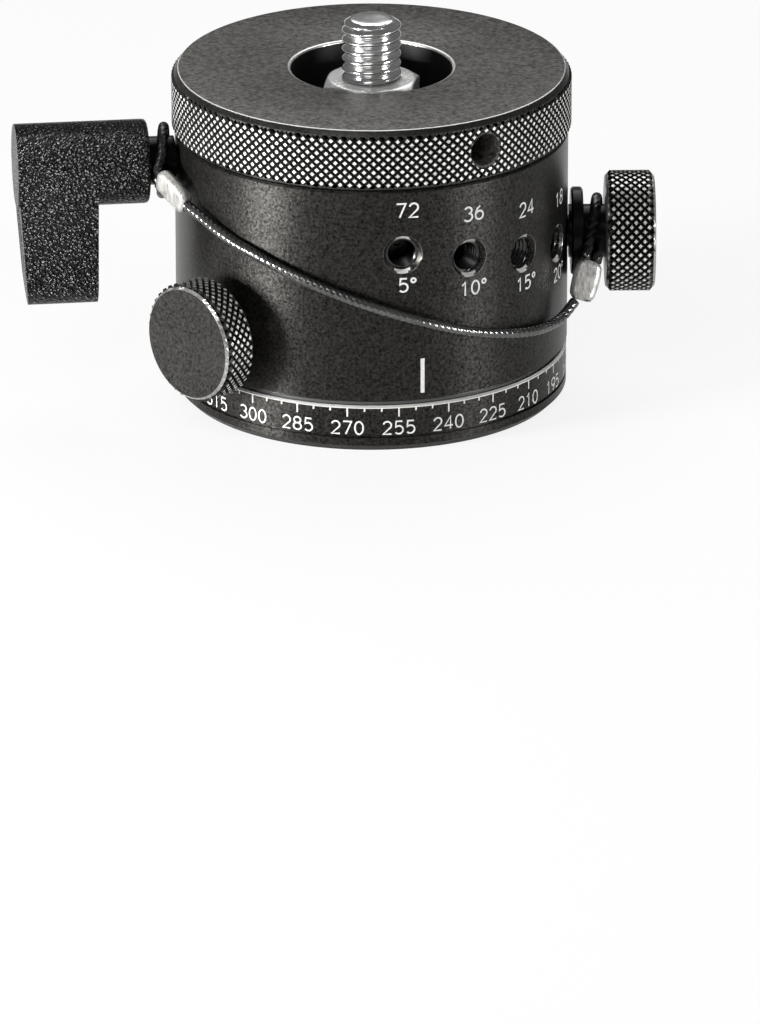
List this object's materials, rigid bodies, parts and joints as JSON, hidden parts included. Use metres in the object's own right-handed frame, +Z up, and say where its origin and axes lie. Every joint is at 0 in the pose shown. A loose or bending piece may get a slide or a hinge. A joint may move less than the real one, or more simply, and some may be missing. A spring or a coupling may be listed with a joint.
{
  "type": "panoramic tripod head",
  "caption": "Panoramic tripod head: graduated base, indexing body with tethered click plunger, lock knob and clamp lever, and a knurled platform with a camera screw.",
  "frame": {"origin": "centre of the tripod thread at the underside of the base", "axes": "+Z up along the spindle and the camera screw; -Y towards the front, where the index mark is; +X to the right, towards the index plunger"},
  "size_m": [0.1033, 0.0668, 0.0621],
  "materials": {
    "base_anodised": "black anodised, satin",
    "spindle_steel": "turned steel",
    "screw_steel": "zinc plated",
    "drum_steel": "blackened turned steel",
    "washer_plastic": "low friction plastic",
    "washer_brass": "bearing brass",
    "spring_steel": "spring steel",
    "body_anodised": "black anodised, satin",
    "hub_washer_plastic": "low friction plastic",
    "platform_anodised": "grey anodised, satin",
    "bright_steel": "bright plated steel",
    "lever_black": "die-cast, black wrinkle finish",
    "black_steel": "blackened steel",
    "knob_anodised": "dark anodised, satin",
    "wire_steel": "stranded steel wire",
    "wire_dark": "dark stranded wire",
    "ferrule_aluminium": "crimped, plain"
  },
  "bodies": {
    "base": {"base_plate": "base_anodised", "spindle": "spindle_steel", "spindle_screws": "screw_steel", "index_drum": "drum_steel", "drum_screws": "screw_steel", "pan_washer": "washer_plastic", "thrust_washer": "washer_brass", "disc_spring": "spring_steel", "retaining_nut": "spindle_steel"},
    "turning_body": {"housing": "body_anodised", "pan_bush": "washer_brass", "hub_washer": "hub_washer_plastic", "index_washer": "black_steel", "safety_wire": "wire_steel", "lever_eye": "wire_dark", "plunger_eye": "wire_dark", "lever_ferrule": "ferrule_aluminium", "plunger_ferrule": "ferrule_aluminium"},
    "platform": {"platform_disc": "platform_anodised", "clamp_hub": "spindle_steel", "hub_screws": "screw_steel", "camera_screw": "bright_steel", "camera_lock_nut": "bright_steel"},
    "clamp_slider": {"clamp_shoe": "washer_brass"},
    "clamp_handle": {"clamp_lever": "lever_black", "clamp_stud": "black_steel"},
    "lock_slider": {"lock_shoe": "washer_brass"},
    "lock_handle": {"lock_knob": "knob_anodised", "lock_stud": "screw_steel"},
    "index_slider": {"index_ball": "spring_steel", "index_spring": "spring_steel"},
    "index_plunger": {"index_knob": "knob_anodised", "index_barrel": "black_steel"}
  },
  "joints": [
    {"name": "pan_turn", "type": "hinge", "parent": "base", "child": "turning_body", "pos_m": [0, 0, 0.02], "axis": [0, 0, 1], "continuous": true},
    {"name": "platform_turn", "type": "hinge", "parent": "turning_body", "child": "platform", "pos_m": [0, 0, 0.045], "axis": [0, 0, 1], "continuous": true},
    {"name": "clamp_travel", "type": "slide", "parent": "turning_body", "child": "clamp_slider", "axis": [-0.9925, -0.1219, 0], "range_m": [0, 0.00033333]},
    {"name": "clamp_turn", "type": "hinge", "parent": "clamp_slider", "child": "clamp_handle", "pos_m": [-0.0397, -0.00487, 0.0395], "axis": [-0.9925, -0.1219, 0], "range_deg": [0, 150]},
    {"name": "lock_travel", "type": "slide", "parent": "turning_body", "child": "lock_slider", "axis": [-0.7193, -0.6947, 0], "range_m": [0, 0.0008]},
    {"name": "lock_turn", "type": "hinge", "parent": "lock_slider", "child": "lock_handle", "pos_m": [-0.0259, -0.02501, 0.0172], "axis": [-0.7193, -0.6947, 0], "range_deg": [0, 360]},
    {"name": "index_travel", "type": "slide", "parent": "turning_body", "child": "index_slider", "axis": [0.9998, 0.0175, 0], "range_m": [0, 0.0015]},
    {"name": "index_turn", "type": "hinge", "parent": "index_slider", "child": "index_plunger", "pos_m": [0.03799, 0.00066, 0.0258], "axis": [0.9998, 0.0175, 0], "range_deg": [0, 720]}
  ],
  "couplings": [
    {"joint": "clamp_turn", "follows": "clamp_travel", "rad_per_m": 7854},
    {"joint": "lock_turn", "follows": "lock_travel", "rad_per_m": 7854},
    {"joint": "index_turn", "follows": "index_travel", "rad_per_m": 8377.6}
  ]
}
